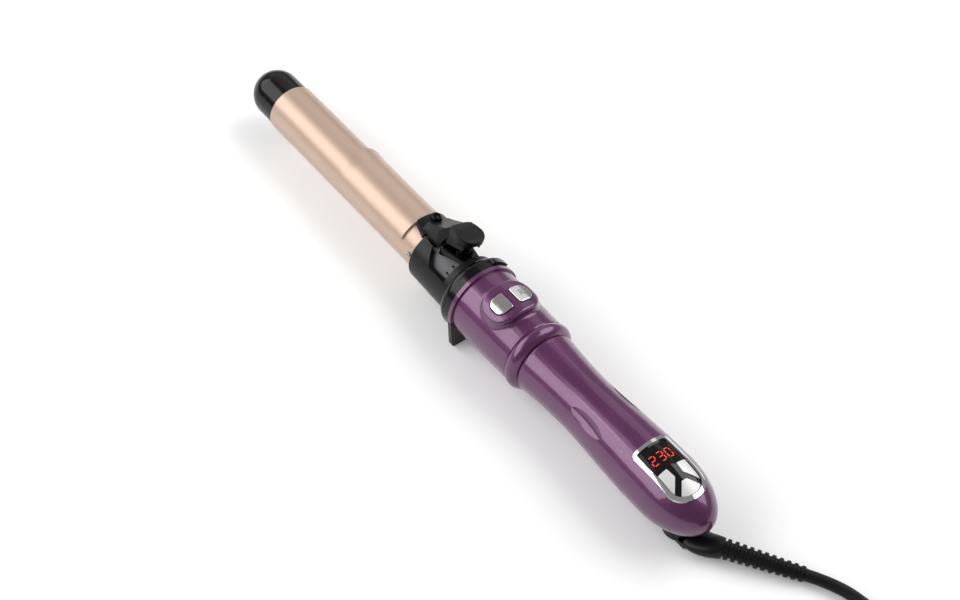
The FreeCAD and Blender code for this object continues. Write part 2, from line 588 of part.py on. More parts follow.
def front_ring():
    """Black shroud between the turning collar and the shells; it holds the front bush."""
    front = COLLAR_REAR_X + GAP
    ring = turned([(front, 16.6), (front, 17.7), (front + 1.6, 19.9, front + 5.4, 20.8), (RIM_X, 20.8),
                   (RIM_X, 17.5), (16.0, 17.5), (16.0, 16.2), (9.4, 16.2), (9.4, 10.0), (14.2, 10.0),
                   (14.2, 8.0), (7.4, 8.0), (7.4, SPINDLE_R + 0.4), (4.6, SPINDLE_R + 0.4), (4.6, 16.6)])
    lug = turned([(LUG_X0, 18.5), (LUG_X0, 20.2), (LUG_X0 + 1.8, LUG_R), (LUG_X1, LUG_R), (LUG_X1, 18.5)])
    lug = lug.common(rolled(block(LUG_X0, LUG_X1, -5.8, 5.8, 10, 25), LUG_ANGLE))
    return join([ring, lug])


def front_bush():
    return tube(7.4, 14.2, 8.0, SPINDLE_R + 0.03)


def rear_bush():
    """Flanged bush on a bridge that spans the lower shell."""
    bridge = block(52.8, 55.8, -16.0, 16.0, -9, 5.6).common(handle_body(WALL + 0.05))
    bridge = join([bridge, rod(52.8, 56.8, 5.6)])
    return bridge.cut(rod(50, 60, SPINDLE_TAIL_R + 0.05))


# ---- drive ----
MOTOR_X0 = 29.5


def pinion():
    part = gear(PINION_TEETH, True, GEAR_X, GEAR_WIDTH, 0.88)
    shaft = rod(GEAR_X - 0.5, MOTOR_X0 - 0.3, 0.9)
    whole = join([part, shaft])
    whole.translate(V(0, 0, -PINION_DROP))
    return whole


def gearbox():
    box = block(MOTOR_X0, MOTOR_X0 + 9, -6, 6, -PINION_DROP - 5, -PINION_DROP + 4.9)
    nose = rod(MOTOR_X0 - 2.0, MOTOR_X0, 2.2, 0, -PINION_DROP)
    return join([box, nose]).cut(rod(MOTOR_X0 - 3, MOTOR_X0 + 3, 0.95, 0, -PINION_DROP))


def motor():
    can = rod(MOTOR_X0 + 9, MOTOR_X0 + 22, 6.0, 0, -PINION_DROP)
    can = can.common(block(0, 60, -7, 7, -PINION_DROP - 5, -PINION_DROP + 4.9))
    return join([can, rod(MOTOR_X0 + 22, MOTOR_X0 + 23, 2.4, 0, -PINION_DROP)])


def brush_holder():
    body = block(30.5, 48.0, 7.0, 10.0, -4.5, 4.5)
    return body.cut(group(block(x - 1.2, x + 1.2, 6.5, 9.0, -2, 2) for x in RING_XS))


def brush_contacts():
    return group(block(x - 0.9, x + 0.9, RING_R + 0.3, 9.0, -0.8, 0.8) for x in RING_XS)


# ---- controls ----
def button(side):
    cap = upright(button_plan(side, 0), 19.2, 27).common(rod(20, 50, PAD_R + BUTTON_PROUD))
    top_edges = [e for e in cap.Edges
                 if all(abs(math.hypot(p.y, p.z - AXIS_Z) - PAD_R - BUTTON_PROUD) < 0.01
                        for p in e.discretize(5))]
    cap = cap.makeFillet(0.4, top_edges)
    y = side * (BUTTON_IN + BUTTON_OUT) / 2
    x = (BUTTON_X0 + BUTTON_X1) / 2
    low = 16.4 + BUTTON_TRAVEL + 0.15
    stem = block(x - 2, x + 2, y - 2, y + 2, low, 20)
    cap_under = upright(button_plan(side, -1.2), 10, 18.2)
    return join([cap.cut(cap_under), stem])


def button_switches():
    x = (BUTTON_X0 + BUTTON_X1) / 2
    y = (BUTTON_IN + BUTTON_OUT) / 2
    return group(join([block(x - 3, x + 3, s * y - 3, s * y + 3, 12.2, 15.5), post(x, s * y, 15.5, 16.4, 1.6)])
                 for s in (-1, 1))


def button_board():
    return upright([(25.5, -10.8, 1), (25.5, 10.8, 1), (42.5, 10.8, 1), (42.5, -10.8, 1)], 11.0, 12.2)


def display_bezel():
    ring = upright(bezel_plan(0), 4, 26).cut(upright(bezel_plan(BEZEL_RING), 3, 27))
    return skin(-BEZEL_PROUD, WALL).common(ring)


KEY_PLANS = {
    "key_left": [(157.6, -2.8, 0.7), (163.5, -2.2, 0.7), (170.4, -7.9, 0.7), (168, -14, 0), (157.6, -14, 0)],
    "key_right": [(157.6, 2.8, 0.7), (163.5, 2.2, 0.7), (170.4, 7.9, 0.7), (168, 14, 0), (157.6, 14, 0)],
    "key_bottom": [(166.6, -1.5, 0.9), (166.6, 1.5, 0.9), (173.6, 7.2, 0.7), (182, 7.2, 0), (182, -7.2, 0),
                   (173.6, -7.2, 0.7)]}
KEY_STEMS = {"key_left": (162.0, -5.0), "key_right": (162.0, 5.0), "key_bottom": (170.0, 0.0)}


def key_column(name, shrink):
    """Vertical prism of one key's outline, kept inside the bezel."""
    face = rounded_face(KEY_PLANS[name], lambda x, y: at(x, y, 4))
    inside = rounded_face(bezel_plan(BEZEL_RING + 0.3), lambda x, y: at(x, y, 4))
    plan = face.common(inside).Faces[0]
    if shrink:
        plan = plan.makeOffset2D(-shrink)
    return plan.extrude(V(0, 0, 24))


def key(name):
    cap = skin(-0.35, 1.7).common(key_column(name, GAP))
    x, y = KEY_STEMS[name]
    low = 12.0 + KEY_TRAVEL + 0.15
    stem = post(x, y, low, 20, 1.3).common(handle_body(1.0))
    return join([cap, stem])


def display_window():
    pane = skin(0.2, 1.7).common(upright(bezel_plan(BEZEL_RING + 0.02), 4, 26))
    for name in KEY_PLANS:
        pane = pane.cut(key_column(name, 0))
    return pane.cut(digit_columns())


def digit_columns():
    """Seven-segment strokes for a three-digit reading, as vertical prisms."""
    lit = {"2": "abged", "3": "abgcd", "0": "abcdef"}
    stroke, width, tall = 0.52, 2.8, 5.3
    bars = []
    for place, figure in enumerate("230"):
        y = (place - 1) * 4.6
        x = 150.6
        boxes = {"a": (x - tall / 2, y, False), "g": (x, y, False), "d": (x + tall / 2, y, False),
                 "f": (x - tall / 4, y - width / 2, True), "b": (x - tall / 4, y + width / 2, True),
                 "e": (x + tall / 4, y - width / 2, True), "c": (x + tall / 4, y + width / 2, True)}
        for name in lit[figure]:
            cx, cy, along = boxes[name]
            du, dv = (tall / 4 - 0.42, stroke / 2) if along else (stroke / 2, width / 2 - 0.42)
            bars.append(block(cx - du, cx + du, cy - dv, cy + dv, 4, 26))
    return group(bars)


def display_digits():
    return skin(0.15, 0.9).common(digit_columns())


def control_board():
    return upright([(142.5, -8.0, 1), (142.5, 8.0, 1), (172.5, 6.4, 1), (172.5, -6.4, 1)], 8.5, 9.7)


def led_module():
    return block(145.0, 157.0, -7.2, 7.2, 9.7, 13.6)


def key_switches():
    return group(join([block(x - 2, x + 2, y - 2, y + 2, 9.7, 11.4), post(x, y, 11.4, 12.0, 1.0)])
                 for x, y in KEY_STEMS.values())


def power_board():
    return upright([(72, -10, 1), (72, 10, 1), (98.5, 10, 1), (98.5, -10, 1)], 2.0, 3.5)


def power_parts():
    return group([post(78, 3.5, 3.5, 11.0, 3.2), block(84, 91, -6.5, 2.0, 3.5, 8.0),
                  block(93, 97, -7, 7, 3.5, 6.5), block(74, 80, -8, -2.5, 3.5, 7.0)])


# ---- cord side ----
def swivel_seat():
    ring = post(SWIVEL_X, 0, SEAT_FACE, -11.0, SEAT_R)
    return ring.cut(post(SWIVEL_X, 0, -25, 0, SWIVEL_PIN_R + 0.05))


def relief_direction():
    return (V(*RELIEF_END) - V(*RELIEF_START)).normalize()


def ellipse_section(centre, heading, half_width, half_height):
    """Upright elliptical section square to a heading in the ground plane."""
    side = V(-math.sin(heading), math.cos(heading), 0)
    ellipse = Part.Ellipse(centre + side * half_width, centre + Z_AXIS * half_height, centre)
    return Part.Wire(ellipse.toShape())


def cord_swivel():
    disc = post(SWIVEL_X, 0, -AXIS_Z, SEAT_FACE - 0.25, SWIVEL_R)
    low_edge = [e for e in disc.Edges if abs(e.BoundBox.ZMax) < 0.01]
    disc = disc.makeChamfer(0.7, low_edge)
    shaft = post(SWIVEL_X, 0, SEAT_FACE - 0.3, -8.6, SWIVEL_PIN_R).cut(post(SWIVEL_X, 0, -17, 0, 3.0))
    bridge = block(SWIVEL_X, 178.6, -6.9, 6.9, -AXIS_Z + 0.35, SEAT_FACE - 0.25)
    sections = [ellipse_section(at(177.8, 0, -17.3), 0, 7.4, 3.9),
                ellipse_section(at(182.0, 0.4, -17.1), 0.1, 7.3, 4.1),
                ellipse_section(V(187.2, 2.6, 5.0), 0.36, 6.6, 4.7),
                Part.Wire(Part.makeCircle(5.1, V(*RELIEF_START), relief_direction()))]
    neck = Part.makeLoft(sections, True)
    return join([disc, shaft, bridge, neck])


def swivel_clip():
    ring = post(SWIVEL_X, 0, -10.7, -9.3, 7.0).cut(post(SWIVEL_X, 0, -12, 0, SWIVEL_PIN_R))
    return ring


def strain_relief():
    length = (V(*RELIEF_END) - V(*RELIEF_START)).Length
    pitch = length / RELIEF_RIBS
    items = [(0, 0)]
    for i in range(RELIEF_RIBS):
        s = i * pitch
        share = i / (RELIEF_RIBS - 1)
        crest, root = 5.15 - 1.25 * share, 3.8 - 0.6 * share
        items += [(s, root), (s + 0.25 * pitch, root), (s + 0.35 * pitch, crest),
                  (s + 0.80 * pitch, crest), (s + 0.90 * pitch, root)]
    items += [(length, items[-1][1]), (length, 0)]
    face = closed_face(items, lambda s, r: V(s, 0, r))
    relief = face.revolve(V(0, 0, 0), X_AXIS, 360)
    web = closed_face([(0, -5.0), (0, 5.0), (length - 0.4 * pitch, 3.8), (length - 0.4 * pitch, -3.8)],
                      lambda s, h: V(s, -RELIEF_WEB / 2, h)).extrude(V(0, RELIEF_WEB, 0))
    web.rotate(V(0, 0, 0), X_AXIS, RELIEF_WEB_ANGLE)
    relief = join([relief, web])
    relief.Placement = FreeCAD.Placement(V(*RELIEF_START), FreeCAD.Rotation(X_AXIS, relief_direction()))
    return relief


def cord_tube(route, radius):
    """Round tube on straight runs joined by tangent arcs."""
    points = [V(*p) for p in route]
    edges = []
    here = points[0]
    for before, corner, after in zip(points, points[1:], points[2:]):
        back, ahead = (before - corner), (after - corner)
        half_turn = (math.pi - back.getAngle(ahead)) / 2
        run = 0.45 * min(back.Length, ahead.Length)
        print("cord arc radius %.0f mm" % (run / math.tan(half_turn)))
        arc_in = corner + back.normalize() * run
        arc_out = corner + ahead.normalize() * run
        inward = (back + ahead).normalize()
        arc_radius = run / math.tan(half_turn)
        middle = corner + inward * (arc_radius / math.cos(half_turn) - arc_radius)
        edges.append(Part.LineSegment(here, arc_in).toShape())
        edges.append(Part.Arc(arc_in, middle, arc_out).toShape())
        here = arc_out
    edges.append(Part.LineSegment(here, points[-1]).toShape())
    spine = Part.Wire(edges)
    section = Part.Wire(Part.makeCircle(radius, points[0], points[1] - points[0]))
    swept = spine.makePipeShell([section], True, False)
    print("cord tube volume / (section x length) = %.4f"
          % (swept.Volume / (math.pi * radius ** 2 * spine.Length)))
    return swept


def cord_coil():
    outer = Part.makeCylinder(COIL_OUT_R, COIL_HIGH - COIL_LOW, V(COIL_X, COIL_Y, COIL_LOW))
    coil = outer.cut(Part.makeCylinder(COIL_IN_R, COIL_HIGH, V(COIL_X, COIL_Y, COIL_LOW)))
    return coil.makeFillet(3.0, [e for e in coil.Edges if len(e.Vertexes) == 1])


def cord_tie():
    """Flat band wrapped once round the coil's turns."""
    r0, r1 = COIL_IN_R - 0.5, COIL_OUT_R
    outer = Part.makeBox(r1 - r0 + 2 * TIE_THICK, TIE_WIDTH, COIL_HIGH - COIL_LOW + 2 * TIE_THICK,
                         V(r0 - TIE_THICK, -TIE_WIDTH / 2, 0))
    inner = Part.makeBox(r1 - r0, TIE_WIDTH, COIL_HIGH - COIL_LOW, V(r0, -TIE_WIDTH / 2, TIE_THICK))
    band = outer.makeFillet(2.5, [e for e in outer.Edges if abs(e.tangentAt(0).y) > 0.9])
    band = band.cut(inner.makeFillet(2.0, [e for e in inner.Edges if abs(e.tangentAt(0).y) > 0.9]))
    band.rotate(V(0, 0, 0), Z_AXIS, TIE_ANGLE)
    band.translate(V(COIL_X, COIL_Y, 0))
    return band


def plug_point(along, side, up):
    """Point on the plug: along its length from the cord end, to its side, above its underside."""
    return V(COIL_X + 14.0 - along, COIL_Y - 33.0 + side, COIL_HIGH + up)


def plug_body():
    half = PLUG_WIDTH / 2
    outline = [(9.0, -half, 4), (PLUG_LENGTH, -half, 0.8), (PLUG_LENGTH, half, 0.8), (9.0, half, 4)]
    face = rounded_face(outline, lambda a, s: plug_point(a, s, 0))
    body = face.extrude(V(0, 0, PLUG_THICK))
    body = body.makeFillet(1.6, [e for e in body.Edges if e.BoundBox.ZLength < 0.01
                                 and e.BoundBox.XMin > plug_point(PLUG_LENGTH, 0, 0).x + 0.5])
    sleeve = Part.makeCone(3.6, 5.4, 11.0, plug_point(0, 0, PLUG_THICK / 2), -X_AXIS)
    return join([body, sleeve])


def plug_pins():
    pins = []
    for side in (-PLUG_PIN_SPACING / 2, PLUG_PIN_SPACING / 2):
        root = plug_point(PLUG_LENGTH, side, PLUG_THICK / 2)
        pin = Part.makeCylinder(PLUG_PIN_R, PLUG_PIN_LENGTH, root, -X_AXIS)
        pins.append(pin.makeFillet(0.9, [e for e in pin.Edges if e.BoundBox.XMax < pin.BoundBox.XMin + 0.01]))
    return group(pins)


# ---- nodes ----
def turning_nodes():
    """Everything that turns with the barrel, drawn with the clip straight up."""
    upper = heat_spreader()
    return {
        "cool_tip": cool_tip(), "barrel_tube": barrel_tube(), "barrel_screws": barrel_screws(),
        "tip_insulator": tube(-151.4, -147.0, BARREL_BORE - 0.1, 2.0),
        "heat_spreader_upper": upper, "heat_spreader_lower": flipped(upper),
        "ptc_heater": ptc_heater(), "thermistor": thermistor(), "thermal_fuse": thermal_fuse(),
        "heater_leads": heater_leads(), "barrel_core": barrel_core(), "collar_shell": collar_shell(),
        "spring_housing": spring_housing(),
        "clip_pin": clip_pin(), "clip_spring": spring_coil(), "spindle": spindle(),
        "slip_ring_hub": slip_ring_hub(), "slip_rings": slip_rings(),
        "clip_plate": clip_plate(), "clip_lever": clip_lever(), "clip_screw": clip_screw()}


def fixed_nodes():
    nodes = {
        "spindle_gear": gear(GEAR_TEETH, False, GEAR_X, GEAR_WIDTH, SPINDLE_R - 0.02),
        "motor_pinion": pinion(), "gearbox": gearbox(), "motor": motor(),
        "brush_holder": brush_holder(), "brush_contacts": brush_contacts(),
        "front_ring": front_ring(), "front_bush": front_bush(), "rear_bush": rear_bush(),
        "handle_upper": handle_upper(), "handle_lower": handle_lower(),
        "shell_screws": shell_screws(), "rest_foot": rest_foot(),
        "button_left": button(-1), "button_right": button(1),
        "button_switches": button_switches(), "button_board": button_board(),
        "display_bezel": display_bezel(), "display_window": display_window(),
        "display_digits": display_digits(), "led_module": led_module(),
        "control_board": control_board(), "key_switches": key_switches(),
        "power_board": power_board(), "power_parts": power_parts(),
        "swivel_seat": swivel_seat(), "cord_swivel": cord_swivel(), "swivel_clip": swivel_clip(),
        "strain_relief": strain_relief(), "supply_cord": cord_tube(CORD_ROUTE, CORD_R),
        "cord_coil": cord_coil(), "cord_tie": cord_tie(),
        "plug_body": plug_body(), "plug_pins": plug_pins()}
    nodes.update((name, key(name)) for name in KEY_PLANS)
    return nodes


def main():
    nodes = {name: rolled(shape) for name, shape in turning_nodes().items()}
    nodes.update(fixed_nodes())
    os.makedirs("parts", exist_ok=True)
    for name, shape in nodes.items():
        shape.exportStep("parts/%s.step" % name)


main()
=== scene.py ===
import bpy
import json
from math import cos, pi, radians, sin, sqrt
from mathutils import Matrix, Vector


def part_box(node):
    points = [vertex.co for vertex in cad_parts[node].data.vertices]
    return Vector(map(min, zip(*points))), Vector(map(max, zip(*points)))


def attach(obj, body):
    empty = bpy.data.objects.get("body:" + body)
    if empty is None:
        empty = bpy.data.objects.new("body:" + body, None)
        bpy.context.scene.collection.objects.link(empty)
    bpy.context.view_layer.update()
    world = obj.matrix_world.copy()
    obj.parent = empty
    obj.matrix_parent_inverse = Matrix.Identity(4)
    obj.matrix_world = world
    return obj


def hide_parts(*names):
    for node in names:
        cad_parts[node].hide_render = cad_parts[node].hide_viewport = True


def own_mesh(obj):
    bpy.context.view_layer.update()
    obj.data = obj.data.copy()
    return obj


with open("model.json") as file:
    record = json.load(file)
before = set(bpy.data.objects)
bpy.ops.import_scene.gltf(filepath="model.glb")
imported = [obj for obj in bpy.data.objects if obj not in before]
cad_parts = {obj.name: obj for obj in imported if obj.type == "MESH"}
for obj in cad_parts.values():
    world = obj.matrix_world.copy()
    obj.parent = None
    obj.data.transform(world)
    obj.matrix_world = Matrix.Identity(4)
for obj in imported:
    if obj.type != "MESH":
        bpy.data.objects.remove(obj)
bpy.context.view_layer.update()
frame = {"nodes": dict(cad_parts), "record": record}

nodes = frame["nodes"]
MM = 0.001
MICRON = 0.000001
WHITE = (1, 1, 1, 1)
AXIS_HEIGHT = 21.3 * MM       # the barrel's axis above the surface


# ---- helpers ----
def middle(name):
    """Middle of a CAD node's box."""
    low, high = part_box(name)
    return (Vector(low) + Vector(high)) / 2


def linked(name, data):
    """A new object in the scene, made from the data."""
    obj = bpy.data.objects.new(name, data)
    bpy.context.collection.objects.link(obj)
    return obj


def mesh_object(name, verts, faces):
    mesh = bpy.data.meshes.new(name)
    mesh.from_pydata([tuple(v) for v in verts], [], faces)
    return linked(name, mesh)


def aim(obj, target):
    obj.rotation_euler = (Vector(target) - obj.location).to_track_quat("-Z", "Y").to_euler()


# ---- camera: the photograph's angle ----
CAMERA_PLACE = (0.583336, -0.434944, 0.873096)
CAMERA_TILT, CAMERA_TURN = radians(40.124), radians(52.804)
LENS_MM, SENSOR_MM = 82.5, 36
NEAREST, FARTHEST = 0.05, 20

camera = linked("camera", bpy.data.cameras.new("camera"))
camera.location = CAMERA_PLACE
camera.rotation_euler = (CAMERA_TILT, 0, CAMERA_TURN)
camera.data.lens = LENS_MM
camera.data.sensor_width = SENSOR_MM
camera.data.clip_start, camera.data.clip_end = NEAREST, FARTHEST
bpy.context.scene.camera = camera


# ---- cord: one length from the strain relief, through the coil, to the plug ----
# Its points are in millimetres.
CORD_RADIUS = 3 * MM
# The same points as the CAD tube.
FREE_RUN = [(225.6, 27.5, 3.95), (239.0, 36.05, 3.38), (258.0, 39.6, 3.1), (279.0, 40.5, 3.1),
            (300.0, 40.1, 3.6)]
COIL_CENTRE = (304.0, 0.2)
# Radius and height of each of the coil's turns, in the order that they were wound.
COIL_TURNS = [(39.3, 3.8), (33.0, 3.7), (26.8, 3.8), (27.2, 9.8), (33.3, 9.8), (39.4, 9.9),
              (39.1, 15.9), (33.0, 15.8)]
LAST_TURN = (36.2, 21.4)
COIL_ENTRY_ANGLE = 93
STEPS_A_TURN = 16
# Where in a turn the cord climbs, where it passes over to the next radius, and how long each takes.
CLIMB_START, CLIMB_SHARE = 0.55, 0.2
SHIFT_START, SHIFT_SHARE = 0.76, 0.24
# A hand-wound turn isn't quite round: size, waves a turn, and phase from one turn to the next.
WAVE_SIZE, WAVES, WAVE_PHASE = 0.2, 3, 2.1
# From the top of the coil round to the plug's sleeve.
TO_PLUG = [(305.0, 36.6, 21.5), (316.5, 34.0, 21.6), (328.0, 26.5, 22.4), (337.6, 16.2, 23.0),
           (344.4, 4.0, 23.5), (345.6, -9.0, 24.1), (341.4, -21.0, 24.8), (332.0, -29.6, 25.4)]
BEFORE_PLUG, INSIDE_PLUG = Vector((3.0, 0, 0)), Vector((1.0, 0, 0))


def eased(share):
    share = min(max(share, 0.0), 1.0)
    return share * share * (3 - 2 * share)


def coil_points():
    """Clockwise turns; each climbs first and then passes over or under to the next one's radius."""
    points = []
    for i, (radius, height) in enumerate(COIL_TURNS):
        next_radius, next_height = (COIL_TURNS + [LAST_TURN])[i + 1]
        for k in range(1, STEPS_A_TURN + 1):
            share = k / STEPS_A_TURN
            climb = eased((share - CLIMB_START) / CLIMB_SHARE)
            shift = eased((share - SHIFT_START) / SHIFT_SHARE)
            angle = radians(COIL_ENTRY_ANGLE - 360 * share)
            wave = WAVE_SIZE * sin(WAVES * angle + WAVE_PHASE * i)
            r = radius + (next_radius - radius) * shift + wave
            h = height + (next_height - height) * climb
            points.append((COIL_CENTRE[0] + r * cos(angle), COIL_CENTRE[1] + r * sin(angle), h))
    return points[:-1]


def tube(name, points, radius):
    """A round tube along a smooth curve through millimetre points."""
    data = bpy.data.curves.new(name, "CURVE")
    data.dimensions = "3D"
    data.bevel_depth = 1.0
    data.bevel_resolution = 8
    data.resolution_u = 6
    spline = data.splines.new("NURBS")
    spline.points.add(len(points) - 1)
    for point, place in zip(spline.points, points):
        point.co = (*(Vector(place) * MM), 1)
        point.radius = radius
    spline.order_u = 3
    spline.use_endpoint_u = True
    return linked(name, data)


plug_low, plug_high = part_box("plug_body")
plug_entry = Vector((plug_high[0], (plug_low[1] + plug_high[1]) / 2,
                     (plug_low[2] + plug_high[2]) / 2)) / MM
cord_line = FREE_RUN + coil_points() + TO_PLUG + [tuple(plug_entry + BEFORE_PLUG),
                                                  tuple(plug_entry - INSIDE_PLUG)]
cord = tube("cord", cord_line, CORD_RADIUS)
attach(cord, "cord")
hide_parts("supply_cord", "cord_coil")


# ---- direction letters, raised a hair above the silver caps ----
CAP_RADIUS = 24.4 * MM
LETTER_SIZE, LETTER_RISE, LETTER_BOLDNESS = 5.4 * MM, 0.10 * MM, 0.08 * MM


def cap_letter(name, letter, button):
    """A letter read along +Y with its top towards the barrel, wrapped over the cap's curve."""
    centre = middle(button)
    outline = bpy.data.curves.new(name + "_outline", "FONT")
    outline.body = letter
    outline.size = LETTER_SIZE
    outline.align_x, outline.align_y = "CENTER", "CENTER"
    outline.extrude = LETTER_RISE
    outline.offset = LETTER_BOLDNESS
    flat = linked(name + "_flat", outline)
    bpy.context.view_layer.update()
    mesh = bpy.data.meshes.new_from_object(flat)
    bpy.data.objects.remove(flat)
    for vertex in mesh.vertices:
        along, up, rise = vertex.co
        y = centre.y + along
        vertex.co = (centre.x - up, y, AXIS_HEIGHT + sqrt(CAP_RADIUS ** 2 - y * y) + rise)
    obj = linked(name, mesh)
    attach(obj, button)
    return obj


letters = [cap_letter("letter_left", "L", "button_left"),
           cap_letter("letter_right", "R", "button_right")]


# ---- clip spring, squeezed under the thumb pad ----
COIL_RADIUS, WIRE_RADIUS = 2.9 * MM, 0.38 * MM
SPRING_LOW, SPRING_HIGH = 13.6 * MM, 21.9 * MM      # above the barrel's axis
SPRING_TURNS, STEPS_A_COIL, STEPS_ROUND_WIRE = 4, 28, 10


def clip_coil():
    """The coil at rest, the point that it stands on and the way that it points."""
    centre = middle("clip_spring")
    base = Vector((centre.x, 0, AXIS_HEIGHT))
    up = (centre - base).normalized()
    side = Vector((1, 0, 0))
    across = up.cross(side)
    steps, ring = SPRING_TURNS * STEPS_A_COIL, STEPS_ROUND_WIRE
    climb = SPRING_HIGH - SPRING_LOW - 2 * WIRE_RADIUS
    verts, faces = [], []
    for i in range(steps + 1):
        turn = 2 * pi * i / STEPS_A_COIL
        out = side * cos(turn) + across * sin(turn)
        height = SPRING_LOW + WIRE_RADIUS + climb * i / steps
        for k in range(ring):
            angle = 2 * pi * k / ring
            verts.append(base + up * (height + WIRE_RADIUS * sin(angle))
                         + out * (COIL_RADIUS + WIRE_RADIUS * cos(angle)))
    for i in range(steps):
        for k in range(ring):
            a, b = i * ring + k, i * ring + (k + 1) % ring
            faces.append((a, b, b + ring, a + ring))
    last = steps * ring
    faces.append(tuple(reversed(range(ring))))
    faces.append(tuple(range(last, last + ring)))
    coil = mesh_object("clip_coil", verts, faces)
    coil.data.polygons.foreach_set("use_smooth", [True] * len(faces))
    return coil, base + up * SPRING_LOW, up


spring, spring_foot, spring_up = clip_coil()
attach(spring, "barrel")
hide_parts("clip_spring")


# ---- floor and light, in metres and watts ----
FLOOR_HALF = 6
WORLD_STRENGTH = 0.28
SOFTBOXES = {
    # name: place, target, width, height, power
    "key": ((-0.60, -0.76, 0.72), (0, 0, 0.03), 1.9, 0.8, 15),
    "back_right": ((0.35, 1.15, 1.25), (0, 0, 0), 1.7, 1.3, 22),
    "back_left": ((-1.3, 0.85, 1.0), (0, 0, 0.03), 1.6, 1.1, 3),
    # what the left direction button mirrors
    "button_card": ((-0.41, -0.33, 0.83), (0.03, -0.0085, 0.044), 0.24, 0.26, 0.25),
}


def softbox(name, place, target, width, height, power):
    data = bpy.data.lights.new(name, "AREA")
    data.shape = "RECTANGLE"
    data.size, data.size_y = width, height
    data.energy = power
    obj = linked(name, data)
    obj.location = place
    aim(obj, target)


floor = mesh_object("floor", [(-FLOOR_HALF, -FLOOR_HALF, 0), (FLOOR_HALF, -FLOOR_HALF, 0),
                              (FLOOR_HALF, FLOOR_HALF, 0), (-FLOOR_HALF, FLOOR_HALF, 0)],
                    [(0, 1, 2, 3)])

for name, values in SOFTBOXES.items():
    softbox(name, *values)

world = bpy.data.worlds.new("studio")
bpy.context.scene.world = world
world.use_nodes = True
background = world.node_tree.nodes["Background"]
background.inputs["Color"].default_value = WHITE
background.inputs["Strength"].default_value = WORLD_STRENGTH
bpy.context.scene.view_settings.view_transform = "Standard"


# ---- material nodes ----
NOISE_ROUGHNESS = 0.55
NOISE_LOW, NOISE_HIGH = 0.3, 0.7      # the middle of a noise, where most of it lies
PLASTIC_IOR = 1.5


def rgb(r, g, b):
    """Linear colour from an 8-bit screen colour."""
    shares = (r / 255, g / 255, b / 255)
    return (*(c / 12.92 if c <= 0.04045 else ((c + 0.055) / 1.055) ** 2.4 for c in shares), 1)


def graph(name):
    material = bpy.data.materials.new(name)
    material.use_nodes = True
    tree = material.node_tree
    shader = tree.nodes["Principled BSDF"]
    coords = tree.nodes.new("ShaderNodeTexCoord")
    return material, tree, shader, coords.outputs["Object"]


def set_inputs(shader, values):
    for key, value in values.items():
        shader.inputs[key].default_value = value


def node(tree, kind, inputs, **values):
    """A new node; an input is either a value or another node's output."""
    made = tree.nodes.new(kind)
    for key, value in values.items():
        setattr(made, key, value)
    for key, value in inputs.items():
        if isinstance(value, bpy.types.NodeSocket):
            tree.links.new(value, made.inputs[key])
        else:
            made.inputs[key].default_value = value
    return made


def noise(tree, coords, scale, stretch=(1, 1, 1), detail=3.0):
    mapped = node(tree, "ShaderNodeMapping", {"Vector": coords, "Scale": stretch})
    made = node(tree, "ShaderNodeTexNoise", {"Vector": mapped.outputs["Vector"], "Scale": scale,
                                             "Detail": detail, "Roughness": NOISE_ROUGHNESS})
    return made.outputs["Fac"]


def spread(tree, value, low, high):
    """Map the middle of a noise onto low..high."""
    made = node(tree, "ShaderNodeMapRange", {"Value": value, "From Min": NOISE_LOW,
                                             "From Max": NOISE_HIGH, "To Min": low,
                                             "To Max": high})
    return made.outputs["Result"]


def mixed(tree, factor, first, second):
    """Colour from first to second, by the factor."""
    made = node(tree, "ShaderNodeMix", {"Factor": factor, "A": first, "B": second},
                data_type="RGBA")
    return made.outputs["Result"]


def bumped(tree, shader, height, microns):
    bump = node(tree, "ShaderNodeBump", {"Height": height, "Distance": microns * MICRON})
    tree.links.new(bump.outputs["Normal"], shader.inputs["Normal"])


# ---- materials, one for each slot ----
def finish(name, first, second, roughness, grain, metal=0.0, stretch=(1, 1, 1), patch=40.0,
           bump=10, coat=0.0, coat_roughness=0.05, specular=0.5):
    """Colour wanders between two shades in patches, roughness with the grain, and the grain lifts
    the surface. Grain and patch are noise scales per metre, bump is in microns."""
    material, tree, shader, coords = graph(name)
    fine = noise(tree, coords, grain, stretch)
    broad = noise(tree, coords, patch)
    colour = mixed(tree, spread(tree, broad, 0, 1), rgb(*first), rgb(*second))
    tree.links.new(colour, shader.inputs["Base Color"])
    tree.links.new(spread(tree, fine, *roughness), shader.inputs["Roughness"])
    bumped(tree, shader, fine, bump)
    set_inputs(shader, {"Metallic": metal, "Coat Weight": coat, "Coat Roughness": coat_roughness,
                        "Specular IOR Level": specular, "IOR": PLASTIC_IOR})
    return material


